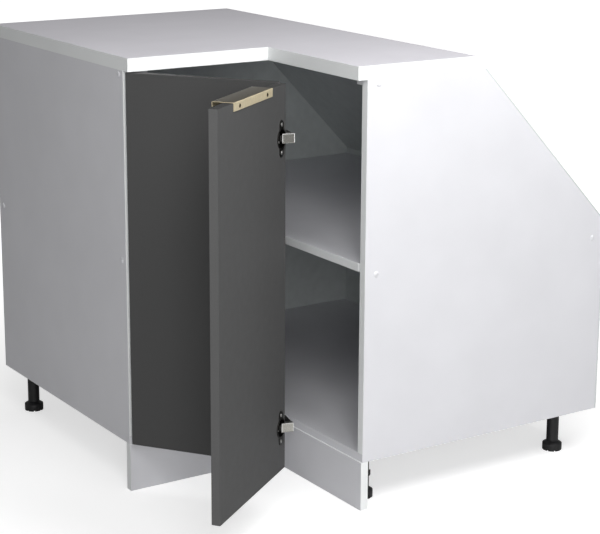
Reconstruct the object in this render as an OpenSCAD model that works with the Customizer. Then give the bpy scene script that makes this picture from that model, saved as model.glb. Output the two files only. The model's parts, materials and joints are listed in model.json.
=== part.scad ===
// Corner kitchen cabinet: L-shaped carcass on legs with a sloped back on the right wing,
// a two-piece top and a folding door of two leaves. Millimetres, Z up.
// Built with X along the left wing's front and Y along the right wing's front,
// then moved so that the origin lies on the floor under the back corner foot.

/* [Carcass] */
// Length of each wing along its wall
wing_length = 900; // [860:5:1000]
// Depth of each wing from wall to carcass front
wing_depth = 580; // [550:5:600]
// Height from floor to the top's upper surface
total_height = 840; // [820:5:900]
// Height of the legs, floor to underside of the bottom board
leg_height = 95; // [90:1:110]
// Thickness of carcass boards, shelf, plinth and doors
board_t = 16; // [15:0.5:18]
// Thickness of the thin back sheets
sheet_t = 3; // [2.5:0.5:4]
// Thickness of the top
top_t = 25; // [22:1:30]

/* [Sloped back] */
// How far the slope cuts into the right wing at the top surface
slope_run = 335; // [280:5:350]
// Height where the slope leaves the upright back
knee_height = 489; // [450:1:560]

/* [Shelf and rails] */
// Drop from the knee to the shelf's upper face
shelf_drop = 14; // [10:1:60]
// Gap between the shelf and the side boards
shelf_gap = 5; // [2:0.5:6]
// Gap between the shelf and the back sheets
shelf_back_gap = 2; // [1:0.5:4]
// Width of the flat rails under the top
rail_w = 70; // [60:1:80]
// Width of the cleats along the side boards
cleat_w = 40; // [36:1:50]
// Set-back of the left cleat's end from the carcass front
left_cleat_set = 8; // [6:1:12]
// Set-back of the right cleat's end from the carcass front
right_cleat_set = 16; // [14:1:20]
// Distance of a board screw from the front end of its cleat
cleat_screw_inset = 9; // [9:0.5:14]
// Distance of the rear board screws from the wall behind the left side
left_fix_back = 18; // [15:1:30]
// Distance of the rear shelf pin from the wall behind the right side
right_fix_back = 30; // [15:1:40]

/* [Door] */
// Gap between a closed leaf and the carcass front
door_gap = 4; // [3.5:0.5:5]
// Gap at each upright edge of a leaf
leaf_gap = 2; // [1.5:0.5:2.5]
// Gap below the leaves
leaf_bottom_gap = 3; // [2:0.5:4]
// Gap above the leaves
leaf_top_gap = 2; // [2:0.5:3]
// Centre of the lower hinges above the leaf's lower edge
hinge_low = 83; // [60:1:100]
// Centre of the upper hinges below the leaf's upper edge
hinge_high = 95; // [60:1:130]

/* [Cup hinges] */
// Radius of the hinge cup
cup_r = 17.5; // [17:0.1:17.5]
// Depth of the hinge cup
cup_depth = 13.5; // [13:0.1:14]
// Cup centre from the leaf's upright edge
cup_edge = 20.5; // [20:0.1:21]
// Hinge pin from the leaf's upright edge
pin_edge = 8.5; // [8:0.1:9]
// Hinge pin below the leaf's inner face
pin_deep = 9.5; // [9:0.1:9.5]
// Radius of the hinge pin
pin_r = 1.25; // [1:0.05:1.4]
// Radius of the knuckle round the pin
knuckle_r = 2.8; // [2.6:0.1:2.9]
// Width of the hinge arm's tongue inside the cup
tongue_w = 10; // [8:0.5:11]
// Length of the screw wings across the cup
wing_span = 66; // [64:1:70]

/* [Handle] */
// Length of the edge handle
handle_len = 168; // [130:1:200]
// Reach of the handle in front of the leaf
handle_reach = 23; // [15:1:25]
// Depth of the front lip
handle_lip = 8; // [6:1:14]
// Depth of the flange on the leaf's inner face
handle_flange = 14; // [12:1:18]
// Thickness of the handle's metal
handle_t = 1.4; // [1:0.1:1.6]
// Distance between the handle screws
handle_pitch = 120; // [96:1:120]

/* [Legs and plinth] */
// Plinth face in front of the carcass front
plinth_forward = 3; // [1:1:5]
// Radius of a leg's tube
tube_r = 12.3; // [12:0.1:14]
// Radius of a foot
foot_r = 20; // [19:0.5:24]
// Height of a foot's straight rim, below its shoulder
foot_h = 14; // [12:1:18]
// Radius of a leg's mounting flange
flange_r = 28; // [26:0.5:29]
// Legs of the left side from the left outer face
leg_left_side = 42; // [40:1:60]
// Legs of the right side from the right outer face
leg_right_side = 60; // [40:1:70]
// Front legs from the carcass front
leg_front = 43; // [43:1:60]
// Back legs from the left wing's wall
leg_back_left = 48; // [45:1:70]
// Back legs from the right wing's wall
leg_back_right = 60; // [45:1:70]

/* [Fasteners] */
// Radius of a board screw
board_screw_r = 3.5; // [3:0.1:3.5]
// Length of a board screw
board_screw_len = 50; // [45:1:50]
// Radius of a cover cap
cap_r = 6; // [5.5:0.1:7]
// Clearance round fasteners
fit = 0.1; // [0.05:0.05:0.15]
// Running clearance in the knuckles
run_fit = 0.05; // [0.05:0.01:0.1]

/* [Hidden] */
$fn = 48;
eps = 1;

front = wing_length - wing_depth;
inside_end = wing_length - sheet_t;
overhang = board_t + door_gap;
top_front = front - overhang;
inner_face = top_front + board_t;
top_under = total_height - top_t;
rail_under = top_under - board_t;
floor_top = leg_height + board_t;

slope_drop = total_height - knee_height;
slope_len = sqrt(slope_run * slope_run + slope_drop * slope_drop);
sheet_shift = sheet_t * slope_len / slope_drop;
function slope_x(z) = wing_length - slope_run + (total_height - z) * slope_run / slope_drop;
function cut_x(z) = slope_x(z) - sheet_shift;
cut_z = total_height - (inside_end + sheet_shift - wing_length + slope_run) * slope_drop / slope_run;

shelf_top = knee_height - shelf_drop;
shelf_under = shelf_top - board_t;
shelf_end = inside_end - shelf_back_gap;
shelf_pin_z = shelf_under - board_screw_r;
shelf_pin_out = 14;

left_cleat_front = front + left_cleat_set;
right_cleat_front = front + right_cleat_set;
left_fix_y = left_cleat_front + cleat_screw_inset;
left_back_y = wing_length - left_fix_back;
right_fix_x = right_cleat_front + cleat_screw_inset;
right_back_x = wing_length - right_fix_back;
slope_rail_x = cut_x(top_under) - rail_w;
back_rail_y = inside_end - rail_w;
rail_z = rail_under + board_t / 2;

leaf_w = top_front - 2 * leaf_gap;
leaf_end = top_front - leaf_gap;
leaf_z0 = leg_height + leaf_bottom_gap;
leaf_z1 = top_under - leaf_top_gap;
hinge_zs = [leaf_z0 + hinge_low, leaf_z1 - hinge_high];
rest_swing = 54.2;
pin_x = leaf_gap + pin_edge;
pin_y = inner_face - pin_deep;

cup_wall = 1;
cup_floor = 0.8;
rim_t = 1.2;
rim_r = cup_r + 1.1;
wing_w = 17;
wing_pitch = wing_span - 16;
neck_t = 2.6;
side_neck_reach = 19;
side_neck_leg = 3;
fold_neck_reach = 13.5;
fold_neck_leg = 5;
fold_neck_rise = 3.6;
arm_w = 16;
plate_t = 3;
plate_len = 54;
plate_w = 18;
plate_screw_pitch = 32;
arm_high = 10;
arm_throat = 11;
screw_window_r = 4.6;
hood_angle = 40;
hood_w = 23;
hood_h = 17;
hood_t = 1.2;
hood_lip = 12;
hood_lip_t = 1.5;
hood_gap = 2.2;
hood_seat = 0.2;
leaf_clear = 0.7;
side_plate_set = 26;
side_screw_ys = [front + side_plate_set + 11, front + side_plate_set + 11 + plate_screw_pitch];
fold_plate_end = leaf_end - 9;
fold_screw_xs = [fold_plate_end - 11 - plate_screw_pitch, fold_plate_end - 11];
small_r = 1.75;
small_head_r = 3.6;
small_head_t = 1.2;
small_len = 12;

clip_z = 44;
clip_h = 10;
clip_wall = 3;
plug_len = 20;
flange_t = 4;
stem_r = 9;
stem_len = 40;
shoulder_h = 5;
notch_count = 8;
notch_w = 3;
notch_h = 4;
notch_in = 5;
plinth_face = front - plinth_forward;
plinth_back = plinth_face + board_t;

left_leg_x = leg_left_side;
corner_leg_x = wing_length - leg_back_right;
corner_leg_y = wing_length - leg_back_left;
front_leg = front + leg_front;
leg_spots = [
    [left_leg_x, corner_leg_y],
    [left_leg_x, front_leg],
    [front_leg, front_leg],
    [front_leg, leg_right_side],
    [corner_leg_x, leg_right_side],
    [corner_leg_x, corner_leg_y]
];

// Screws up through the cleats and rails into the top, as [x, y]
top_spots = [
    [board_t + cleat_w / 2, front + wing_depth * 0.2],
    [board_t + cleat_w / 2, front + wing_depth * 0.6],
    [front + wing_depth * 0.12, board_t + cleat_w / 2],
    [front + wing_depth * 0.25, board_t + cleat_w / 2],
    [top_front * 0.27, back_rail_y + rail_w / 2],
    [top_front * 0.8, back_rail_y + rail_w / 2],
    [top_front + 100, back_rail_y + rail_w / 2],
    [slope_rail_x + rail_w / 2, wing_length * 0.12],
    [slope_rail_x + rail_w / 2, wing_length * 0.5],
    [slope_rail_x + rail_w / 2, wing_length * 0.86]
];

white = [0.86, 0.86, 0.87];
graphite = [0.3, 0.3, 0.3];
sheet_white = [0.8, 0.83, 0.83];
black = [0.11, 0.11, 0.11];
dark_nickel = [0.24, 0.24, 0.23];
nickel = [0.72, 0.71, 0.68];
bronze = [0.6, 0.56, 0.46];
birch = [0.76, 0.62, 0.42];

nail_r = 0.8;
nail_head_r = 2.4;
nail_len = 24;

// Moves the built cabinet so that the corner foot stands on the origin
module placed() {
    translate([-corner_leg_x, -corner_leg_y, 0]) children();
}

// Carries door pieces drawn closed to the open rest position
module swung() {
    translate([pin_x, pin_y, 0])
        rotate([0, 0, -rest_swing])
            translate([-pin_x, -pin_y, 0]) children();
}

// Local frame of a side hinge: x away from the leaf's edge, y out of the inner face
module at_side_hinges() {
    for (z = hinge_zs)
        translate([leaf_gap, inner_face, z]) children();
}

// The same local frame at the joint edge of the second leaf
module at_fold_hinges() {
    for (z = hinge_zs)
        translate([inner_face, leaf_end, z]) rotate([0, 0, -90]) children();
}

// A board lying in X and Z, from y0 over a depth
module upright(points, y0, depth) {
    translate([0, y0 + depth, 0])
        rotate([90, 0, 0])
            linear_extrude(depth) polygon(points);
}

// Board screw: head flush at z = 0, point upward
module board_screw() {
    difference() {
        union() {
            cylinder(r = board_screw_r + 1.5, h = 4);
            cylinder(r = board_screw_r, h = board_screw_len);
        }
        translate([0, 0, -eps]) cylinder(r = 2.2, h = 3 + eps);
    }
}

module board_screw_hole(len = board_screw_len) {
    translate([0, 0, -eps]) cylinder(r = board_screw_r + 1.5 + fit, h = 4 + fit + eps);
    translate([0, 0, -eps]) cylinder(r = board_screw_r + fit, h = len + fit + eps);
}

// Small countersunk or flat-headed screw: head below z = 0, point upward
module small_screw(len = small_len) {
    translate([0, 0, -small_head_t]) cylinder(r = small_head_r, h = small_head_t, $fn = 24);
    cylinder(r = small_r, h = len, $fn = 24);
}

module small_screw_hole(len = small_len) {
    translate([0, 0, -eps]) cylinder(r = small_r + fit, h = len + fit + eps, $fn = 24);
}

// Fixing points on the left side board, drawn with z into the board
module left_upper_fixings() {
    for (y = [left_fix_y, left_back_y])
        translate([0, y, rail_z]) rotate([0, 90, 0]) children();
}

module left_shelf_fixings() {
    for (y = [left_fix_y, left_back_y])
        translate([0, y, shelf_pin_z]) rotate([0, 90, 0]) children();
}

module right_upper_fixings() {
    translate([right_fix_x, 0, rail_z]) rotate([-90, 0, 0]) children();
}

module right_shelf_fixings() {
    for (x = [right_fix_x, right_back_x])
        translate([x, 0, shelf_pin_z]) rotate([-90, 0, 0]) children();
}

// Screws up through the bottom board into the side boards
module bottom_fixings() {
    for (k = [0.2, 0.5, 0.8]) {
        translate([board_t / 2, front + wing_depth * k, leg_height]) children();
        translate([front + wing_depth * k, board_t / 2, leg_height]) children();
    }
}

// Short wooden dowels across the joints of the cleats and rails
module dowel_spots() {
    for (k = [0.4, 0.75])
        translate([slope_rail_x + rail_w * k, board_t - 10, rail_z]) rotate([-90, 0, 0]) children();
    for (k = [0.3, 0.7]) {
        translate([slope_rail_x - 15, back_rail_y + rail_w * k, rail_z]) rotate([0, 90, 0]) children();
        translate([slope_rail_x - 15, board_t + cleat_w * k, rail_z]) rotate([0, 90, 0]) children();
        translate([board_t + cleat_w * k, back_rail_y - 15, rail_z]) rotate([-90, 0, 0]) children();
    }
}

module dowel() {
    cylinder(r = 4, h = 30, $fn = 24);
}

module dowel_hole() {
    translate([0, 0, -fit]) cylinder(r = 4 + fit, h = 30 + 2 * fit, $fn = 24);
}

// Screws of one leg flange
module leg_screw_spots() {
    for (p = leg_spots, a = [45, 135, 225, 315])
        translate([p[0], p[1], leg_height - flange_t])
            rotate([0, 0, a]) translate([flange_r - 5.5, 0, 0]) children();
}

module top_screw_spots() {
    for (p = top_spots)
        translate([p[0], p[1], rail_under]) children();
}

module top_screw() {
    cylinder(r = 4, h = 2.5, $fn = 24);
    cylinder(r = 2, h = board_t + top_t * 0.6, $fn = 24);
}

module top_screw_hole() {
    translate([0, 0, -eps]) cylinder(r = 4 + fit, h = 2.5 + fit + eps, $fn = 24);
    cylinder(r = 2 + fit, h = board_t + top_t * 0.6 + fit, $fn = 24);
}

// Upright plates of the side hinges on the left side board
module side_plate_spots() {
    for (z = hinge_zs, y = side_screw_ys)
        translate([board_t + plate_t, y, z]) rotate([0, -90, 0]) children();
}

// Plates of the fold hinges on the first leaf, drawn closed
module fold_plate_spots() {
    for (z = hinge_zs, x = fold_screw_xs)
        translate([x, inner_face + plate_t, z]) rotate([90, 0, 0]) children();
}

// Wing screws of a cup in its local frame
module wing_spots() {
    for (s = [-1, 1])
        translate([cup_edge, rim_t, s * wing_pitch / 2]) rotate([90, 0, 0]) children();
}

// Nails through the back sheets, drawn with z from the outside inwards
module back_nail_spots() {
    for (k = [0.15, 0.35, 0.7])
        translate([board_t / 2, wing_length, leg_height + k * (top_under - leg_height)])
            rotate([90, 0, 0]) children();
    for (k = [0.15, 0.5, 0.8])
        translate([k * wing_length, wing_length, leg_height + board_t / 2]) rotate([90, 0, 0]) children();
    for (k = [0.2, 0.45])
        translate([k * wing_length, wing_length, rail_z]) rotate([90, 0, 0]) children();
}

module knee_nail_spots() {
    for (k = [0.2, 0.7])
        translate([wing_length, board_t / 2, leg_height + k * (knee_height - leg_height)])
            rotate([0, -90, 0]) children();
    for (k = [0.15, 0.5, 0.8])
        translate([wing_length, k * wing_length, leg_height + board_t / 2]) rotate([0, -90, 0]) children();
}

module slope_nail_spots() {
    into = 180 + atan2(slope_drop, slope_run);
    for (k = [0.25, 0.6])
        translate([slope_x(knee_height + k * slope_drop), board_t / 2, knee_height + k * slope_drop])
            rotate([0, into, 0]) children();
    for (k = [0.2, 0.5, 0.8])
        translate([slope_x(rail_z), k * wing_length, rail_z]) rotate([0, into, 0]) children();
}

module nail() {
    cylinder(r = nail_head_r, h = 0.8, $fn = 24);
    cylinder(r = nail_r, h = nail_len, $fn = 16);
}

module nail_hole() {
    translate([0, 0, -eps]) cylinder(r = nail_head_r + fit, h = 0.8 + fit + eps, $fn = 24);
    cylinder(r = nail_r + fit, h = nail_len + fit, $fn = 16);
}

module sheet_nails() {
    color(nickel) placed() {
        back_nail_spots() nail();
        knee_nail_spots() nail();
        slope_nail_spots() nail();
    }
}

module top_left() {
    color(white) placed() difference() {
        translate([0, top_front, top_under])
            cube([top_front, wing_length - top_front, top_t]);
        top_screw_spots() top_screw_hole();
    }
}

module top_right() {
    color(white) placed() difference() {
        upright([
            [top_front, top_under],
            [slope_x(top_under), top_under],
            [slope_x(total_height), total_height],
            [top_front, total_height]
        ], 0, wing_length);
        top_screw_spots() top_screw_hole();
    }
}

module bottom_panel() {
    color(white) placed() difference() {
        translate([0, 0, leg_height]) cube([inside_end, inside_end, board_t]);
        translate([-eps, -eps, leg_height - eps]) cube([front + eps, front + eps, board_t + 2 * eps]);
        bottom_fixings() board_screw_hole();
        leg_screw_spots() small_screw_hole(flange_t + small_len);
        back_nail_spots() nail_hole();
        knee_nail_spots() nail_hole();
    }
}

module left_side_panel() {
    color(white) placed() difference() {
        translate([0, front, floor_top])
            cube([board_t, inside_end - front, top_under - floor_top]);
        bottom_fixings() board_screw_hole();
        left_upper_fixings() board_screw_hole();
        left_shelf_fixings() board_screw_hole();
        side_plate_spots() small_screw_hole(plate_t + small_len);
        back_nail_spots() nail_hole();
    }
}

module right_side_panel() {
    color(white) placed() difference() {
        upright([
            [front, floor_top],
            [inside_end, floor_top],
            [inside_end, cut_z],
            [cut_x(top_under), top_under],
            [front, top_under]
        ], 0, board_t);
        bottom_fixings() board_screw_hole();
        right_upper_fixings() board_screw_hole();
        right_shelf_fixings() board_screw_hole();
        dowel_spots() dowel_hole();
        knee_nail_spots() nail_hole();
        slope_nail_spots() nail_hole();
    }
}

module back_sheet() {
    color(sheet_white) placed() difference() {
        upright([
            [0, leg_height],
            [wing_length, leg_height],
            [wing_length, knee_height],
            [slope_x(top_under), top_under],
            [0, top_under]
        ], inside_end, sheet_t);
        back_nail_spots() nail_hole();
    }
}

module knee_sheet() {
    color(sheet_white) placed() difference() {
        upright([
            [inside_end, leg_height],
            [wing_length, leg_height],
            [wing_length, knee_height],
            [inside_end, cut_z]
        ], 0, inside_end);
        knee_nail_spots() nail_hole();
    }
}

module slope_sheet() {
    color(sheet_white) placed() difference() {
        upright([
            [inside_end, cut_z],
            [wing_length, knee_height],
            [slope_x(top_under), top_under],
            [cut_x(top_under), top_under]
        ], 0, inside_end);
        slope_nail_spots() nail_hole();
    }
}

module shelf() {
    color(white) placed() difference() {
        translate([board_t + shelf_gap, board_t + shelf_gap, shelf_under])
            cube([shelf_end - board_t - shelf_gap, shelf_end - board_t - shelf_gap, board_t]);
        translate([0, 0, shelf_under - eps]) cube([front, front, board_t + 2 * eps]);
    }
}

module left_cleat() {
    color(white) placed() difference() {
        translate([board_t, left_cleat_front, rail_under])
            cube([cleat_w, back_rail_y - left_cleat_front, board_t]);
        left_upper_fixings() board_screw_hole();
        top_screw_spots() top_screw_hole();
        dowel_spots() dowel_hole();
    }
}

module right_cleat() {
    color(white) placed() difference() {
        translate([right_cleat_front, board_t, rail_under])
            cube([slope_rail_x - right_cleat_front, cleat_w, board_t]);
        right_upper_fixings() board_screw_hole();
        top_screw_spots() top_screw_hole();
        dowel_spots() dowel_hole();
    }
}

module back_rail() {
    color(white) placed() difference() {
        translate([board_t, back_rail_y, rail_under])
            cube([slope_rail_x - board_t, rail_w, board_t]);
        left_upper_fixings() board_screw_hole();
        top_screw_spots() top_screw_hole();
        dowel_spots() dowel_hole();
        back_nail_spots() nail_hole();
    }
}

module slope_rail() {
    color(white) placed() difference() {
        upright([
            [slope_rail_x, rail_under],
            [cut_x(rail_under) - fit, rail_under],
            [cut_x(top_under) - fit, top_under],
            [slope_rail_x, top_under]
        ], board_t, inside_end - board_t);
        top_screw_spots() top_screw_hole();
        dowel_spots() dowel_hole();
        slope_nail_spots() nail_hole();
    }
}

module plinth_left() {
    color(white) placed() difference() {
        translate([0, plinth_face, 0]) cube([plinth_back, board_t, leg_height]);
        clip_screw_spots() small_screw_hole();
    }
}

module plinth_right() {
    color(white) placed() difference() {
        translate([plinth_face, 0, 0]) cube([board_t, plinth_face, leg_height]);
        clip_screw_spots() small_screw_hole();
    }
}

// Local frame of a plinth clip: origin on the leg's axis, plinth toward -y
module at_clips() {
    translate([left_leg_x, front_leg, clip_z]) children();
    translate([front_leg, leg_right_side, clip_z]) rotate([0, 0, -90]) children();
}

module clip_screw_spots() {
    at_clips()
        for (s = [-1, 1])
            translate([s * 14, plinth_back - front_leg + 2.5, clip_h / 2])
                rotate([90, 0, 0]) children();
}

module plinth_clips() {
    reach = front_leg - plinth_back;
    color(black) placed() difference() {
        at_clips() difference() {
            union() {
                cylinder(r = tube_r + clip_wall, h = clip_h);
                translate([-7, -reach, 0]) cube([14, reach, clip_h]);
                translate([-20, -reach, 0]) cube([40, 2.5, clip_h]);
            }
            translate([0, 0, -eps]) cylinder(r = tube_r + fit, h = clip_h + 2 * eps);
            translate([-8, 0, -eps]) cube([16, tube_r + 2 * clip_wall, clip_h + 2 * eps]);
        }
        clip_screw_spots() small_screw_hole(3);
    }
}

module clip_screws() {
    color(nickel) placed() clip_screw_spots() small_screw();
}

module leg_sockets() {
    color(black) placed() difference() {
        for (p = leg_spots)
            translate([p[0], p[1], leg_height - flange_t]) {
                cylinder(r = flange_r, h = flange_t);
                translate([0, 0, -plug_len]) cylinder(r = stem_r, h = plug_len + flange_t);
            }
        leg_screw_spots() small_screw_hole();
    }
}

module leg_tubes() {
    color(black) placed()
        for (p = leg_spots)
            translate([p[0], p[1], foot_h + shoulder_h]) difference() {
                cylinder(r = tube_r, h = leg_height - flange_t - foot_h - shoulder_h);
                translate([0, 0, -eps]) cylinder(r = stem_r + fit, h = leg_height);
            }
}

module leg_feet() {
    color(black) placed()
        for (p = leg_spots)
            translate([p[0], p[1], 0]) difference() {
                union() {
                    cylinder(r = foot_r, h = foot_h);
                    translate([0, 0, foot_h]) cylinder(r1 = foot_r, r2 = tube_r, h = shoulder_h);
                    cylinder(r = stem_r, h = foot_h + stem_len);
                }
                for (k = [1 : notch_count])
                    rotate([0, 0, (k - 0.5) * 360 / notch_count])
                        translate([foot_r - notch_in, -notch_w / 2, -eps])
                            cube([2 * notch_in, notch_w, notch_h + eps]);
            }
}

module leg_screws() {
    color(nickel) placed() leg_screw_spots() small_screw(flange_t + small_len);
}

module panel_screws() {
    color(nickel) placed() {
        bottom_fixings() board_screw();
        left_upper_fixings() board_screw();
        right_upper_fixings() board_screw();
    }
}

module shelf_pins() {
    color(nickel) placed() {
        left_shelf_fixings() shelf_pin();
        right_shelf_fixings() shelf_pin();
    }
}

// Headed pin through a side board, its inner end under the shelf
module shelf_pin() {
    difference() {
        union() {
            cylinder(r = board_screw_r + 1.5, h = 4);
            cylinder(r = board_screw_r, h = board_t + shelf_gap + shelf_pin_out);
        }
        translate([0, 0, -eps]) cylinder(r = 2.2, h = 3 + eps);
    }
}

module screw_caps() {
    color(white) placed() {
        left_upper_fixings() cap();
        left_shelf_fixings() cap();
        right_upper_fixings() cap();
        right_shelf_fixings() cap();
    }
}

module cap() {
    rotate_extrude() polygon([
        [0, -1.6], [cap_r * 0.5, -1.4], [cap_r * 0.85, -0.9], [cap_r, 0],
        [2.1, 0], [2.1, 2.5], [0, 2.5]
    ]);
}

module rail_dowels() {
    color(birch) placed() dowel_spots() dowel();
}

module top_screws() {
    color(nickel) placed() top_screw_spots() top_screw();
}

// Bent neck of a hinge arm in the local frame: along the cup's floor, then up past the leaf's face
module neck(reach, leg, rise) {
    translate([pin_edge, -pin_deep, -tongue_w / 2]) difference() {
        union() {
            cylinder(r = knuckle_r, h = tongue_w);
            translate([0, -neck_t, 0]) cube([reach, neck_t, tongue_w]);
            translate([reach - leg, -neck_t, 0])
                cube([leg, neck_t + pin_deep + rise, tongue_w]);
        }
        translate([0, 0, -eps]) cylinder(r = pin_r + run_fit, h = tongue_w + 2 * eps);
    }
}

// Hinge cup with rim, wings and pin holes in the local frame
module cup() {
    difference() {
        union() {
            translate([cup_edge, 0, 0]) rotate([90, 0, 0]) cylinder(r = cup_r, h = cup_depth);
            translate([cup_edge, rim_t, 0]) rotate([90, 0, 0]) cylinder(r = rim_r, h = rim_t);
            translate([cup_edge - wing_w / 2, 0, -wing_span / 2 + wing_w / 2])
                cube([wing_w, rim_t, wing_span - wing_w]);
            for (s = [-1, 1])
                translate([cup_edge, rim_t, s * (wing_span - wing_w) / 2])
                    rotate([90, 0, 0]) cylinder(r = wing_w / 2, h = rim_t);
        }
        translate([cup_edge, rim_t + eps, 0]) rotate([90, 0, 0])
            cylinder(r = cup_r - cup_wall, h = cup_depth + rim_t + eps - cup_floor);
        pin_bore();
        wing_spots() small_screw_hole();
    }
}

function pin_half() = sqrt(pow(cup_r, 2) - pow(cup_edge - pin_edge + pin_r, 2)) - 0.05;

module pin_bore() {
    translate([pin_edge, -pin_deep, -pin_half() - fit])
        cylinder(r = pin_r + 0.02, h = 2 * (pin_half() + fit), $fn = 32);
}

module pin() {
    translate([pin_edge, -pin_deep, -pin_half()])
        cylinder(r = pin_r, h = 2 * pin_half(), $fn = 32);
}

// Recess for a cup in a leaf, in the local frame
module cup_recess() {
    translate([cup_edge, eps, 0]) rotate([90, 0, 0])
        cylinder(r = cup_r + fit, h = cup_depth + fit + eps);
    wing_spots() small_screw_hole();
}

module side_hinge_plates() {
    color(nickel) placed() difference() {
        for (z = hinge_zs)
            translate([board_t, front + side_plate_set, z - plate_w / 2])
                cube([plate_t, plate_len, plate_w]);
        side_plate_spots() small_screw_hole();
    }
}

module side_hinge_arms() {
    arm_in = leaf_gap + pin_edge + side_neck_reach;
    arm_y0 = front + 8;
    color(dark_nickel) placed() difference() {
        union() {
            at_side_hinges() neck(side_neck_reach, side_neck_leg, arm_y0 - inner_face + 2);
            for (z = hinge_zs)
                translate([board_t + plate_t, arm_y0, z - arm_w / 2])
                    cube([arm_in - board_t - plate_t, plate_len + 14, arm_w]);
        }
        for (z = hinge_zs, y = side_screw_ys)
            translate([board_t + plate_t - eps, y, z])
                rotate([0, 90, 0]) cylinder(r = screw_window_r, h = 30);
    }
}

module side_hinge_cups() {
    color(dark_nickel) placed() swung() at_side_hinges() cup();
}

module side_hinge_pins() {
    color(nickel) placed() swung() at_side_hinges() pin();
}

module side_hinge_screws() {
    color(nickel) placed() side_plate_spots() small_screw(plate_t + small_len);
}

module fold_hinge_plates() {
    color(nickel) placed() swung() difference() {
        for (z = hinge_zs)
            translate([fold_plate_end - plate_len, inner_face, z - plate_w / 2])
                cube([plate_len, plate_t, plate_w]);
        fold_plate_spots() small_screw_hole();
    }
}

// Plan point of the slanted arm head: along it by x and back from it by y
function hood(x, y) = [
    inner_face + hood_gap + x * cos(hood_angle) - y * sin(hood_angle),
    leaf_end - cup_edge + x * sin(hood_angle) + y * cos(hood_angle)
];

// How far back from the head a plan line y is met
function hood_back(y) = (y - hood(hood_w, 0)[1]) / cos(hood_angle);

// Plan of what the second leaf's edge and cup sweep as they fold
module fold_sweep_plan() {
    translate([pin_y, leaf_end - pin_edge])
        circle(r = sqrt(pow(pin_edge, 2) + pow(pin_deep, 2)) + leaf_clear);
    translate([top_front, leaf_end - wing_span])
        square([board_t + rim_t + leaf_clear, wing_span]);
}

// Room in front of the arm heads, where their caps lie
module before_heads() {
    for (z = hinge_zs)
        translate([inner_face + hood_gap, leaf_end - cup_edge, z])
            rotate([0, 0, hood_angle]) translate([-hood_w, -hood_w, -hood_h])
                cube([2 * hood_w, hood_w + hood_t + hood_seat, 2 * hood_h]);
}

module fold_hinge_arms() {
    arm_y0 = inner_face + plate_t;
    arm_y1 = arm_y0 + arm_high;
    head_h = hood_h - 2 * hood_lip_t - 2 * run_fit;
    head_y = hood_t + run_fit;
    color(dark_nickel) placed() swung() difference() {
        union() {
            difference() {
                at_fold_hinges() neck(fold_neck_reach, fold_neck_leg, fold_neck_rise);
                before_heads();
            }
            for (z = hinge_zs)
                translate([0, 0, z - head_h / 2]) linear_extrude(head_h) difference() {
                    polygon([
                        hood(0, head_y),
                        hood(hood_w, head_y),
                        hood(hood_w, hood_back(arm_y1)),
                        [fold_plate_end - plate_len + 3, arm_y1],
                        [fold_plate_end - plate_len + 3, arm_y0],
                        [inner_face - arm_throat, arm_y0]
                    ]);
                    fold_sweep_plan();
                }
        }
        for (z = hinge_zs, x = fold_screw_xs)
            translate([x, arm_y0 - eps, z]) rotate([-90, 0, 0]) cylinder(r = screw_window_r, h = 30);
    }
}

// Pressed cap over an arm head, with a lip above and below
module fold_hinge_covers() {
    color(nickel) placed() swung()
        for (z = hinge_zs)
            difference() {
                translate([inner_face + hood_gap, leaf_end - cup_edge, z - hood_h / 2])
                    rotate([0, 0, hood_angle]) difference() {
                        cube([hood_w, hood_lip, hood_h]);
                        translate([-eps, hood_t, hood_lip_t])
                            cube([hood_w + 2 * eps, hood_lip, hood_h - 2 * hood_lip_t]);
                    }
                translate([0, 0, z - hood_h]) linear_extrude(2 * hood_h) fold_sweep_plan();
            }
}

module fold_hinge_cups() {
    color(dark_nickel) placed() swung() at_fold_hinges() cup();
}

module fold_hinge_pins() {
    color(nickel) placed() swung() at_fold_hinges() pin();
}

module leaf_1_screws() {
    color(nickel) placed() swung() {
        at_side_hinges() wing_spots() small_screw();
        fold_plate_spots() small_screw();
    }
}

module leaf_2_screws() {
    color(nickel) placed() swung() at_fold_hinges() wing_spots() small_screw();
}

module door_leaf_1() {
    color(graphite) placed() swung() difference() {
        translate([leaf_gap, top_front, leaf_z0]) cube([leaf_w, board_t, leaf_z1 - leaf_z0]);
        at_side_hinges() cup_recess();
        fold_plate_spots() small_screw_hole();
    }
}

module door_leaf_2() {
    color(graphite) placed() swung() difference() {
        translate([top_front, leaf_gap, leaf_z0]) cube([board_t, leaf_w, leaf_z1 - leaf_z0]);
        at_fold_hinges() cup_recess();
        handle_screw_spots() small_screw_hole();
    }
}

// Handle screws on the inner face of the second leaf, drawn closed
module handle_screw_spots() {
    for (s = [-1, 1])
        translate([
            inner_face + handle_t,
            leaf_gap + leaf_w / 2 + s * handle_pitch / 2,
            leaf_z1 - handle_flange / 2
        ]) rotate([0, -90, 0]) children();
}

module handle() {
    y0 = leaf_gap + (leaf_w - handle_len) / 2;
    color(bronze) placed() swung() difference() {
        union() {
            translate([top_front - handle_reach, y0, leaf_z1])
                cube([handle_reach + board_t + handle_t, handle_len, handle_t]);
            translate([top_front - handle_reach, y0, leaf_z1 - handle_lip])
                cube([handle_t, handle_len, handle_lip + handle_t]);
            translate([inner_face, y0, leaf_z1 - handle_flange])
                cube([handle_t, handle_len, handle_flange + handle_t]);
        }
        handle_screw_spots() small_screw_hole();
    }
}

module handle_screws() {
    color(bronze) placed() swung() handle_screw_spots() small_screw();
}

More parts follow.
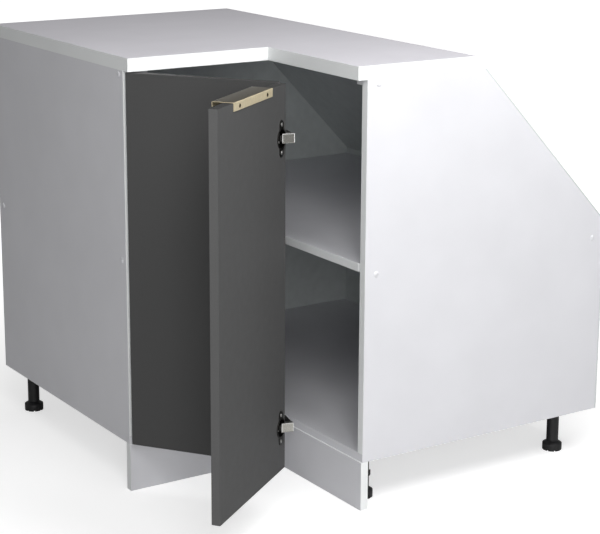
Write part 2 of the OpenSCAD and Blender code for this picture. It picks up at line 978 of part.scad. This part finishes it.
top_left();
top_right();
bottom_panel();
left_side_panel();
right_side_panel();
back_sheet();
knee_sheet();
slope_sheet();
sheet_nails();
shelf();
shelf_pins();
left_cleat();
right_cleat();
back_rail();
slope_rail();
rail_dowels();
top_screws();
panel_screws();
screw_caps();
plinth_left();
plinth_right();
plinth_clips();
clip_screws();
leg_sockets();
leg_tubes();
leg_feet();
leg_screws();
side_hinge_plates();
side_hinge_arms();
side_hinge_screws();
side_hinge_cups();
side_hinge_pins();
door_leaf_1();
leaf_1_screws();
fold_hinge_plates();
fold_hinge_arms();
fold_hinge_covers();
fold_hinge_cups();
fold_hinge_pins();
leaf_2_screws();
door_leaf_2();
handle();
handle_screws();
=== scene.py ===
# Corner kitchen cabinet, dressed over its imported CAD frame. Metres, Z up.

import json
import math

import bmesh
import bpy
import numpy as np
from mathutils import Matrix, Vector


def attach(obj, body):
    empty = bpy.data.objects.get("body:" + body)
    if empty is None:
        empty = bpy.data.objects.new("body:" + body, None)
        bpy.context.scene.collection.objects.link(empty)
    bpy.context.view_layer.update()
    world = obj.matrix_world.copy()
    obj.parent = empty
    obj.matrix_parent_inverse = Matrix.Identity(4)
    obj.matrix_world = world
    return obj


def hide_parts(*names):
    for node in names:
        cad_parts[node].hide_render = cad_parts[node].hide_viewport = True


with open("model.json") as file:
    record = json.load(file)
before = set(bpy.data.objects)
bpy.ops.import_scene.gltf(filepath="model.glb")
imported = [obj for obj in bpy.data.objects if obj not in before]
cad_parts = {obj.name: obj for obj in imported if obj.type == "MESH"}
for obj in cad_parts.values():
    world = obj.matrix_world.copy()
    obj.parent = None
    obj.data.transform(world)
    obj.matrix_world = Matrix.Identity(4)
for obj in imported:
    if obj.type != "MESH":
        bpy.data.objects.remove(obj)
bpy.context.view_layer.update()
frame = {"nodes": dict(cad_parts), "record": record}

# Camera, fitted to the photograph
LENS = 105.424
SHIFT_Y = -0.05
CAMERA_AT = Vector((-2.3016, -3.3682, 1.2877))
CAMERA_YAW = math.radians(56.9012)
CAMERA_PITCH = math.radians(-13.8429)
CAMERA_ROLL = math.radians(0.2853)

# Colours, as they are seen in plain light, save those marked as painted shade or painted
# highlight
WHITE = "dcdce0"
WHITE_BAND = "f0f2f2"
TOP_WHITE = "dad8de"
SHEET = "c8cdcd"
DOOR = "4a4a4a"
DOOR_EDGE = "5c5c5c"
# painted shade: the doors' upper and lower narrow sides, darker than the light falling on them
# would show
DOOR_TOP_PAINTED_SHADE = "353535"
BLACK = "1b1b1c"
NICKEL = "c4c2bb"
# painted shade: the hinge parts' nickel, darkened for the shade they stand in
NICKEL_PAINTED_SHADE = "3c3b39"
STEEL = "b4b4b2"
# painted highlight: the bright rim of the hinge arm caps
NICKEL_RIM_PAINTED_HIGHLIGHT = "eaeae8"
CHAMPAGNE = "c6ba9c"
# painted shade: the handle's top plate, darker than its flange for the dark it reflects
CHAMPAGNE_TOP_PAINTED_SHADE = "8e8573"
# painted shade: the handle's screws, the same metal darkened for the dark they reflect
CHAMPAGNE_SCREW_PAINTED_SHADE = "6a6150"
BEECH = "c2a06c"
FLOOR = "cccccc"
FLOOR_GLOW = 0.6

# How far the door stands open, which is also how its pieces are turned
REST_SWING = math.radians(54.2)

# Rounding of edges
EDGE_ROUND = 0.0006
TOP_ROUND = 0.0008
HINGE_ROUND = 0.0004
SHEET_ROUND = 0.0003
COVER_ROUND = 0.0002

# Angles between faces: flat, smooth, and sharp enough to be eased
FLAT_ANGLE = math.radians(0.5)
SMOOTH_ANGLE = math.radians(30)
EASED_ANGLE = math.radians(40)
STRIP_SMOOTH_ANGLE = math.radians(35)
STRIP_EASED_ANGLE = math.radians(50)
WELD_DISTANCE = 1e-6

# Share of a direction beyond which a face counts as facing that way
FACING = 0.7
TOP_FACING = 0.8
# Share of the largest area from which faces count as equally large
EQUAL_AREA = 0.97

# Shapes finer than the CAD's
HANDLE_SHEET = 0.0014
HANDLE_LIP = 0.008
HANDLE_BEND = 0.0021
CAP_RIM = 0.0015
CAP_SINK = 0.00025
SCREW_CROWN = 0.0012
SCREW_SHAFT = 0.00175

# Floor: its size, and the ring where it fades to the white of the backdrop
FLOOR_HALF = 14
FLOOR_CENTRE = (-0.45, -0.45, 0)
FADE_FROM, FADE_TO = 0.6, 1.6

# Studio lights: name, place, target, size, watts
LIGHTS = (
    ("key", (-0.2, -1.75, 1.9), (-0.3, -0.6, 0.55), 1.1, 24),
    ("fill", (-1.4, -1.95, 1.9), (-0.45, -0.45, 0.5), 0.9, 17),
    ("front", (-2.45, -4.0, 1.2), (-0.3, -0.3, 0.4), 1.2, 46),
    ("top", (-0.5, -0.7, 3.8), (-0.4, -0.4, 0.8), 2.0, 4),
)


def linear(code, alpha=1.0):
    """A hex colour as scene-linear values."""
    out = []
    for i in (0, 2, 4):
        c = int(code[i:i + 2], 16) / 255
        out.append(c / 12.92 if c <= 0.04045 else ((c + 0.055) / 1.055) ** 2.4)
    return (*out, alpha)


def shade(code, factor):
    """The colour, lighter or darker by a factor."""
    r, g, b, a = linear(code)
    return (min(1, r * factor), min(1, g * factor), min(1, b * factor), a)


class Material:
    """A node material with a shader and a few helpers."""

    def __init__(self, name, roughness=0.5, metallic=0.0, specular=0.5):
        self.data = bpy.data.materials.new(name)
        self.data.use_nodes = True
        self.nodes = self.data.node_tree.nodes
        self.links = self.data.node_tree.links
        self.shader = self.nodes["Principled BSDF"]
        self.shader.inputs["Roughness"].default_value = roughness
        self.shader.inputs["Metallic"].default_value = metallic
        self.shader.inputs["Specular IOR Level"].default_value = specular
        self.place = self.nodes.new("ShaderNodeTexCoord").outputs["Object"]

    def noise(self, scale, detail=3.0, stretch=(1, 1, 1)):
        """Noise at a number of features per metre, stretched along the axes."""
        mapping = self.nodes.new("ShaderNodeMapping")
        mapping.inputs["Scale"].default_value = [scale * s for s in stretch]
        self.links.new(self.place, mapping.inputs["Vector"])
        noise = self.nodes.new("ShaderNodeTexNoise")
        noise.inputs["Scale"].default_value = 1.0
        noise.inputs["Detail"].default_value = detail
        self.links.new(mapping.outputs["Vector"], noise.inputs["Vector"])
        return noise.outputs["Fac"]

    def ramp(self, factor, stops):
        """A colour ramp over (position, colour) stops."""
        ramp = self.nodes.new("ShaderNodeValToRGB")
        elements = ramp.color_ramp.elements
        while len(elements) < len(stops):
            elements.new(0.5)
        for element, (position, colour) in zip(elements, stops):
            element.position = position
            element.color = colour
        self.links.new(factor, ramp.inputs["Fac"])
        return ramp.outputs["Color"]

    def colour(self, socket):
        self.links.new(socket, self.shader.inputs["Base Color"])

    def rough(self, factor, low, high):
        span = self.nodes.new("ShaderNodeMapRange")
        span.inputs["To Min"].default_value = low
        span.inputs["To Max"].default_value = high
        self.links.new(factor, span.inputs["Value"])
        self.links.new(span.outputs["Result"], self.shader.inputs["Roughness"])

    def bump(self, height, distance, strength=0.5):
        bump = self.nodes.new("ShaderNodeBump")
        bump.inputs["Strength"].default_value = strength
        bump.inputs["Distance"].default_value = distance
        self.links.new(height, bump.inputs["Height"])
        self.links.new(bump.outputs["Normal"], self.shader.inputs["Normal"])


def board(name, code, roughness=0.42):
    """Melamine-faced board: an even colour, faint clouding and a fine pearl texture."""
    m = Material(name, roughness)
    m.colour(m.ramp(m.noise(9, 2), [(0.3, shade(code, 0.975)), (0.7, shade(code, 1.015))]))
    m.rough(m.noise(160, 2), roughness - 0.05, roughness + 0.06)
    m.bump(m.noise(1400, 2), 0.00005, 0.35)
    return m.data


def lacquer(name, code):
    """Matte door facing with a fine orange-peel surface."""
    m = Material(name, 0.5, specular=0.25)
    m.colour(m.ramp(m.noise(700, 4), [(0.25, shade(code, 0.93)), (0.75, shade(code, 1.07))]))
    m.rough(m.noise(60, 2), 0.46, 0.56)
    m.bump(m.noise(900, 3), 0.00006, 0.4)
    return m.data


def thin_board(name, code):
    """Painted hardboard with a slight mottle."""
    m = Material(name, 0.6, specular=0.3)
    m.colour(m.ramp(m.noise(45, 4), [(0.3, shade(code, 0.95)), (0.7, shade(code, 1.04))]))
    m.rough(m.noise(90, 2), 0.55, 0.68)
    m.bump(m.noise(600, 4), 0.00008, 0.4)
    return m.data


def plastic(name, code, roughness=0.42):
    """Moulded plastic with a fine spark-eroded grain."""
    m = Material(name, roughness)
    m.colour(m.ramp(m.noise(250, 3), [(0.3, shade(code, 0.85)), (0.7, shade(code, 1.2))]))
    m.rough(m.noise(400, 2), roughness - 0.08, roughness + 0.1)
    m.bump(m.noise(1800, 2), 0.00005, 0.4)
    return m.data


def metal(name, code, roughness=0.3, stretch=(1, 1, 1), metallic=1.0, grain=600):
    """Plated or brushed metal; the stretch draws the brush marks out."""
    m = Material(name, roughness, metallic=metallic)
    marks = m.noise(grain, 3, stretch)
    m.colour(m.ramp(marks, [(0.3, shade(code, 0.88)), (0.7, shade(code, 1.08))]))
    m.rough(marks, roughness - 0.07, roughness + 0.1)
    m.bump(marks, 0.00003, 0.3)
    return m.data


def raw_wood(name, code):
    """Straight-grained raw wood."""
    m = Material(name, 0.6, specular=0.3)
    grain = m.noise(120, 4, (1, 0.15, 1))
    m.colour(m.ramp(grain, [(0.35, shade(code, 0.8)), (0.65, shade(code, 1.1))]))
    m.rough(grain, 0.5, 0.7)
    m.bump(grain, 0.0001, 0.3)
    return m.data


FINISH = {
    "board_white": board("board white", WHITE),
    "back_sheet": thin_board("back sheet", SHEET),
    "door_graphite": lacquer("door graphite", DOOR),
    "black_plastic": plastic("black plastic", BLACK),
    "cap_white": plastic("cap white", WHITE, 0.35),
    "nickel": metal("nickel", NICKEL, 0.26, grain=2400),
    # painted shade: nickel darkened for the shade the hinge parts stand in
    "dark_nickel": metal("nickel painted shade", NICKEL_PAINTED_SHADE, 0.38),
    "steel": metal("steel", STEEL, 0.34),
    "handle_metal": metal("champagne metal", CHAMPAGNE, 0.42, (1, 1, 0.2), metallic=0.3),
    "beech": raw_wood("beech", BEECH),
}
TOP_FINISH = board("top white", TOP_WHITE, 0.4)
# painted shade: a darker copy of the handle metal for its upward faces
HANDLE_TOP_PAINTED_SHADE = metal("champagne metal, top, painted shade", CHAMPAGNE_TOP_PAINTED_SHADE, 0.3, (1, 0.2, 1))
# painted shade: the handle metal darkened for the screw heads
SCREW_PAINTED_SHADE = metal("polished champagne painted shade", CHAMPAGNE_SCREW_PAINTED_SHADE, 0.12)
# painted highlight on the upper and side parts of the cap rims
RIM_PAINTED_HIGHLIGHT = metal("nickel rim painted highlight", NICKEL_RIM_PAINTED_HIGHLIGHT, 0.35, metallic=0.3)
# Finishes of a board's upright narrow sides, and of its upper and lower ones; on the doors the
# upper and lower ones are darker, as painted shade
EDGE_FINISH = {
    "board_white": [board("white edge band", WHITE_BAND, 0.34)] * 2,
    "door_graphite": [
        lacquer("graphite edge band", DOOR_EDGE),
        lacquer("graphite top band painted shade", DOOR_TOP_PAINTED_SHADE),
    ],
}

slots = {s["node"]: s["material_slot"] for s in frame["record"]["subparts"]}
bodies = {n: b for b, members in frame["record"]["behaviour"]["bodies"].items() for n in members}


def dress(node, material=None):
    """Gives a CAD node its finish."""
    data = frame["nodes"][node].data
    data.materials.clear()
    data.materials.append(material or FINISH[slots[node]])


def stand_in(node, mesh, name):
    """A mesh as the piece that stands for a CAD node, on its body."""
    piece = bpy.data.objects.new(name, mesh)
    bpy.context.scene.collection.objects.link(piece)
    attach(piece, bodies[node])
    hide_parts(node)
    return piece


def main_normal(mesh):
    """The direction that most of a board's surface faces."""
    areas = {}
    for face in mesh.polygons:
        n = face.normal
        key = tuple(round(abs(v), 1) for v in n)
        areas.setdefault(key, [0.0, n.copy()])[0] += face.area
    return max(areas.values(), key=lambda entry: entry[0])[1]


def whole_faces(mesh):
    """A mesh for editing, with the triangles of each flat face joined."""
    built = bmesh.new()
    built.from_mesh(mesh)
    bmesh.ops.remove_doubles(built, verts=built.verts, dist=WELD_DISTANCE)
    bmesh.ops.dissolve_limit(
        built, angle_limit=FLAT_ANGLE, verts=built.verts, edges=built.edges
    )
    return built


def store(built, mesh):
    """Writes an edited mesh back and frees it."""
    built.to_mesh(mesh)
    built.free()
    return mesh


def eased(piece, width, angle=EASED_ANGLE, harden=False):
    """Rounds a piece's sharp edges."""
    bevel = piece.modifiers.new("eased edges", "BEVEL")
    bevel.width = width
    bevel.segments = 2
    bevel.limit_method = "ANGLE"
    bevel.angle_limit = angle
    bevel.harden_normals = harden


def softened(node, width=EDGE_ROUND, material=None, flat=False, banded=True):
    """A copy of a CAD node with its sharp edges eased, and its narrow sides banded."""
    mesh = frame["nodes"][node].data.copy()
    mesh.name = node + "_eased"
    store(whole_faces(mesh), mesh)
    mesh.materials.clear()
    mesh.materials.append(material or FINISH[slots[node]])
    if banded and slots[node] in EDGE_FINISH:
        for finish in EDGE_FINISH[slots[node]]:
            mesh.materials.append(finish)
        across = main_normal(mesh)
        for face in mesh.polygons:
            if abs(face.normal.dot(across)) < FACING:
                # painted shade: upper and lower narrow sides take the darker finish where one is
                # given (the doors)
                face.material_index = 2 if abs(face.normal.z) > FACING else 1
    eased(stand_in(node, mesh, node + "_eased"), width, harden=not flat)
    if flat:
        mesh.shade_flat()
    else:
        mesh.shade_smooth()
        mesh.set_sharp_from_angle(angle=SMOOTH_ANGLE)


def rimmed_caps():
    """The caps of the fold hinge arms, with a raised rim round each face, brightened above and at
    the sides as a painted highlight.
    """
    mesh = frame["nodes"]["fold_hinge_covers"].data.copy()
    mesh.materials.clear()
    mesh.materials.append(FINISH["nickel"])
    mesh.materials.append(RIM_PAINTED_HIGHLIGHT)
    built = whole_faces(mesh)
    # each cap's front is its largest face
    largest = max(f.calc_area() for f in built.faces)
    fronts = [f for f in built.faces if f.calc_area() > EQUAL_AREA * largest]
    inset = bmesh.ops.inset_individual(built, faces=fronts, thickness=CAP_RIM, depth=-CAP_SINK)
    middles = [f.calc_center_median() for f in fronts]
    for face in inset["faces"]:
        spot = face.calc_center_median()
        nearest = min(middles, key=lambda m: (m - spot).length)
        # painted highlight: the rim is bright above and at the sides, and plain below
        face.material_index = 1 if spot.z > nearest.z - CAP_RIM else 0
    store(built, mesh)
    eased(stand_in("fold_hinge_covers", mesh, "fold_hinge_covers_rimmed"), SHEET_ROUND)
    mesh.shade_flat()


def arc(centre, radius, start, stop, steps=6):
    """Points on an arc in the plane, from one angle to another in degrees."""
    out = []
    for k in range(steps + 1):
        a = math.radians(start + (stop - start) * k / steps)
        out.append((centre[0] + radius * math.cos(a), centre[1] + radius * math.sin(a)))
    return out


def bent_handle():
    """The edge handle as one bent strip of sheet metal, with round bends."""
    square_up = Matrix.Rotation(REST_SWING, 3, "Z")
    corners = [square_up @ v.co for v in frame["nodes"]["handle"].data.vertices]
    x0, x1 = min(c.x for c in corners), max(c.x for c in corners)
    y0, y1 = min(c.y for c in corners), max(c.y for c in corners)
    z0, z1 = min(c.z for c in corners), max(c.z for c in corners)
    t, bend = HANDLE_SHEET, HANDLE_BEND
    front, back = (x0 + bend, z1 - bend), (x1 - bend, z1 - bend)
    lip = z1 - t - HANDLE_LIP
    outline = [(x0, lip)] + arc(front, bend, 180, 90) + arc(back, bend, 90, 0) + [(x1, z0)]
    outline += [(x1 - t, z0)] + arc(back, bend - t, 0, 90)
    outline += arc(front, bend - t, 90, 180) + [(x0 + t, lip)]
    built = bmesh.new()
    turn_back = square_up.inverted()
    ends = [
        [built.verts.new(turn_back @ Vector((x, y, z))) for x, z in outline] for y in (y0, y1)
    ]
    count = len(outline)
    for k in range(count):
        n = (k + 1) % count
        built.faces.new((ends[0][k], ends[0][n], ends[1][n], ends[1][k]))
    built.faces.new(ends[0][::-1])
    built.faces.new(ends[1])
    bmesh.ops.recalc_face_normals(built, faces=built.faces)
    mesh = store(built, bpy.data.meshes.new("handle_strip"))
    mesh.materials.append(FINISH["handle_metal"])
    mesh.materials.append(HANDLE_TOP_PAINTED_SHADE)
    # painted shade: the handle's upward faces take the darker top finish
    for face in mesh.polygons:
        face.material_index = 1 if face.normal.z > TOP_FACING else 0
    mesh.shade_smooth()
    mesh.set_sharp_from_angle(angle=STRIP_SMOOTH_ANGLE)
    eased(stand_in("handle", mesh, "handle_strip"), SHEET_ROUND, STRIP_EASED_ANGLE, harden=True)


def islands(mesh):
    """The vertex places of each separate solid in a mesh."""
    built = bmesh.new()
    built.from_mesh(mesh)
    bmesh.ops.remove_doubles(built, verts=built.verts, dist=WELD_DISTANCE)
    left = set(built.verts)
    found = []
    while left:
        todo = [left.pop()]
        group = []
        while todo:
            v = todo.pop()
            group.append(v.co.copy())
            for e in v.link_edges:
                other = e.other_vert(v)
                if other in left:
                    left.remove(other)
                    todo.append(other)
        found.append(np.array(group))
    built.free()
    return found


def lathe(built, profile, sides=28):
    """Turns a profile of (radius, height) points round Z, from the tip to the top."""
    rings = []
    for radius, height in profile:
        if radius == 0:
            rings.append([built.verts.new((0, 0, height))])
        else:
            ring = []
            for k in range(sides):
                a = 2 * math.pi * k / sides
                ring.append(built.verts.new((radius * math.cos(a), radius * math.sin(a), height)))
            rings.append(ring)
    for low, high in zip(rings, rings[1:]):
        for k in range(sides):
            n = (k + 1) % sides
            corners = [low[k % len(low)], low[n % len(low)]]
            corners += [high[n % len(high)], high[k % len(high)]]
            built.faces.new(list(dict.fromkeys(corners)))
    bmesh.ops.recalc_face_normals(built, faces=built.faces)


def screw_mesh(head, shaft, length):
    """A domed screw with a cross recess: point at z = 0, crown at z = length."""
    crown = SCREW_CROWN
    rim = length - crown
    dome = [
        (head * math.cos(a), rim + 0.15 * crown + 0.85 * crown * math.sin(a))
        for a in (math.radians(d) for d in (0, 20, 38, 56, 74))
    ]
    point = [(0, 0), (shaft * 0.45, shaft * 0.8), (shaft, shaft * 2.2)]
    built = bmesh.new()
    lathe(built, point + [(shaft, rim), (head, rim)] + dome + [(0, length)])
    mesh = store(built, bpy.data.meshes.new("screw"))
    built = bmesh.new()
    at_crown = Matrix.Translation((0, 0, length))
    bar = Matrix.Diagonal((head * 1.1, head * 0.24, crown * 1.6, 1))
    for turn in (0, 90):
        turned = Matrix.Rotation(math.radians(turn), 4, "Z")
        bmesh.ops.create_cube(built, size=1, matrix=at_crown @ turned @ bar)
    recess = store(built, bpy.data.meshes.new("recess"))
    screw = bpy.data.objects.new("screw", mesh)
    tool = bpy.data.objects.new("recess", recess)
    for made in (screw, tool):
        bpy.context.scene.collection.objects.link(made)
    cut = screw.modifiers.new("cross recess", "BOOLEAN")
    cut.operation = "DIFFERENCE"
    cut.solver = "EXACT"
    cut.use_self = True
    cut.object = tool
    bpy.context.view_layer.update()
    result = screw.evaluated_get(bpy.context.evaluated_depsgraph_get())
    shaped = bpy.data.meshes.new_from_object(result)
    for made in (screw, tool):
        bpy.data.objects.remove(made)
    return shaped


def domed_screws(node, material=None):
    """Domed cross-head screws in the place of a node's plain ones."""
    built = bmesh.new()
    pattern = None
    for points in islands(frame["nodes"][node].data):
        centre = points.mean(axis=0)
        axis = np.linalg.svd(points - centre)[2][0]
        along = (points - centre) @ axis
        away = np.linalg.norm(points - centre - np.outer(along, axis), axis=1)
        # the widest points are the head's, which is turned to the top
        wide = away > away.max() * 0.9
        if along[wide].mean() < along.mean():
            axis, along = -axis, -along
        middle = points[wide].mean(axis=0)
        tip = middle + axis * (along.min() - (middle - centre) @ axis)
        if pattern is None:
            pattern = screw_mesh(away.max(), SCREW_SHAFT, float(along.max() - along.min()))
        turned = Vector(axis).to_track_quat("Z", "X").to_matrix().to_4x4()
        copy = pattern.copy()
        copy.transform(Matrix.Translation(Vector(tip)) @ turned)
        built.from_mesh(copy)
        bpy.data.meshes.remove(copy)
    mesh = store(built, bpy.data.meshes.new(node + "_domed"))
    bpy.data.meshes.remove(pattern)
    mesh.materials.clear()
    mesh.materials.append(material or FINISH[slots[node]])
    mesh.shade_smooth()
    mesh.set_sharp_from_angle(angle=EASED_ANGLE)
    stand_in(node, mesh, node + "_domed")


def aimed_camera():
    """The camera at the photograph's place, looking along yaw and pitch."""
    data = bpy.data.cameras.new("camera")
    data.lens = LENS
    data.shift_y = SHIFT_Y
    data.clip_start, data.clip_end = 0.05, 60
    ahead = Vector((
        math.cos(CAMERA_YAW) * math.cos(CAMERA_PITCH),
        math.sin(CAMERA_YAW) * math.cos(CAMERA_PITCH),
        math.sin(CAMERA_PITCH),
    ))
    level = Vector((math.sin(CAMERA_YAW), -math.cos(CAMERA_YAW), 0))
    above = level.cross(ahead)
    right = level * math.cos(CAMERA_ROLL) + above * math.sin(CAMERA_ROLL)
    up = above * math.cos(CAMERA_ROLL) - level * math.sin(CAMERA_ROLL)
    turn = Matrix((right, up, -ahead)).transposed().to_4x4()
    camera = bpy.data.objects.new("camera", data)
    bpy.context.scene.collection.objects.link(camera)
    camera.matrix_world = Matrix.Translation(CAMERA_AT) @ turn
    bpy.context.scene.camera = camera


def softbox(name, at, target, size, watts):
    """A square area light aimed at a point."""
    data = bpy.data.lights.new(name, "AREA")
    data.shape = "SQUARE"
    data.size = size
    data.energy = watts
    light = bpy.data.objects.new(name, data)
    light.location = at
    light.rotation_euler = (Vector(target) - Vector(at)).to_track_quat("-Z", "Y").to_euler()
    bpy.context.scene.collection.objects.link(light)


def pale_world(strength, mirrored, seen):
    """An even white world: one level as light, one in reflections, one for the camera."""
    world = bpy.data.worlds.new("studio")
    bpy.context.scene.world = world
    world.use_nodes = True
    nodes, links = world.node_tree.nodes, world.node_tree.links
    background = nodes["Background"]
    background.inputs["Color"].default_value = (1, 1, 1, 1)
    path = nodes.new("ShaderNodeLightPath")
    level = strength
    for ray, wanted in (("Is Glossy Ray", mirrored), ("Is Camera Ray", seen)):
        step = nodes.new("ShaderNodeMix")
        links.new(path.outputs[ray], step.inputs["Factor"])
        if isinstance(level, float):
            step.inputs["A"].default_value = level
        else:
            links.new(level, step.inputs["A"])
        step.inputs["B"].default_value = wanted
        level = step.outputs["Result"]
    links.new(level, background.inputs["Strength"])


def studio_floor():
    """A pale floor that keeps the object's shadow and reads as white to the camera."""
    mesh = bpy.data.meshes.new("floor")
    h = FLOOR_HALF
    mesh.from_pydata([(-h, -h, 0), (h, -h, 0), (h, h, 0), (-h, h, 0)], [], [(0, 1, 2, 3)])
    m = Material("floor", 0.9, specular=0.1)
    m.colour(m.ramp(m.noise(3, 2), [(0.3, shade(FLOOR, 0.99)), (0.7, shade(FLOOR, 1.01))]))
    path = m.nodes.new("ShaderNodeLightPath")
    away = m.nodes.new("ShaderNodeVectorMath")
    away.operation = "DISTANCE"
    away.inputs[1].default_value = FLOOR_CENTRE
    m.links.new(m.place, away.inputs[0])
    glow = m.nodes.new("ShaderNodeMapRange")
    glow.inputs["From Min"].default_value = FADE_FROM
    glow.inputs["From Max"].default_value = FADE_TO
    glow.inputs["To Min"].default_value = FLOOR_GLOW
    glow.inputs["To Max"].default_value = 1.0
    m.links.new(away.outputs["Value"], glow.inputs["Value"])
    shown = m.nodes.new("ShaderNodeMath")
    shown.operation = "MULTIPLY"
    m.links.new(path.outputs["Is Camera Ray"], shown.inputs[0])
    m.links.new(glow.outputs["Result"], shown.inputs[1])
    m.shader.inputs["Emission Color"].default_value = (1, 1, 1, 1)
    m.links.new(shown.outputs["Value"], m.shader.inputs["Emission Strength"])
    mesh.materials.append(m.data)
    floor = bpy.data.objects.new("floor", mesh)
    bpy.context.scene.collection.objects.link(floor)


aimed_camera()
studio_floor()
pale_world(strength=0.18, mirrored=0.2, seen=1.0)
for light in LIGHTS:
    softbox(*light)

for node in frame["nodes"]:
    dress(node)

for node in ("top_left", "top_right"):
    softened(node, TOP_ROUND, TOP_FINISH, flat=True)
for node in (
    "bottom_panel", "left_side_panel", "right_side_panel", "shelf", "left_cleat",
    "right_cleat", "back_rail", "slope_rail", "plinth_left", "plinth_right",
    "door_leaf_1", "door_leaf_2",
):
    # the bottom board's edge shows in the same tone as its face
    softened(node, flat=True, banded=node != "bottom_panel")
for node in ("leg_sockets", "leg_tubes", "leg_feet", "plinth_clips"):
    softened(node)
rimmed_caps()
for node in (
    "side_hinge_plates", "side_hinge_arms", "fold_hinge_plates", "fold_hinge_arms",
    "side_hinge_cups", "fold_hinge_cups",
):
    softened(node, HINGE_ROUND)
softened("screw_caps", COVER_ROUND)
domed_screws("handle_screws", SCREW_PAINTED_SHADE)
for node in ("leaf_1_screws", "leaf_2_screws", "side_hinge_screws", "leg_screws", "clip_screws"):
    domed_screws(node)
bent_handle()

bpy.context.scene.view_settings.view_transform = "Standard"
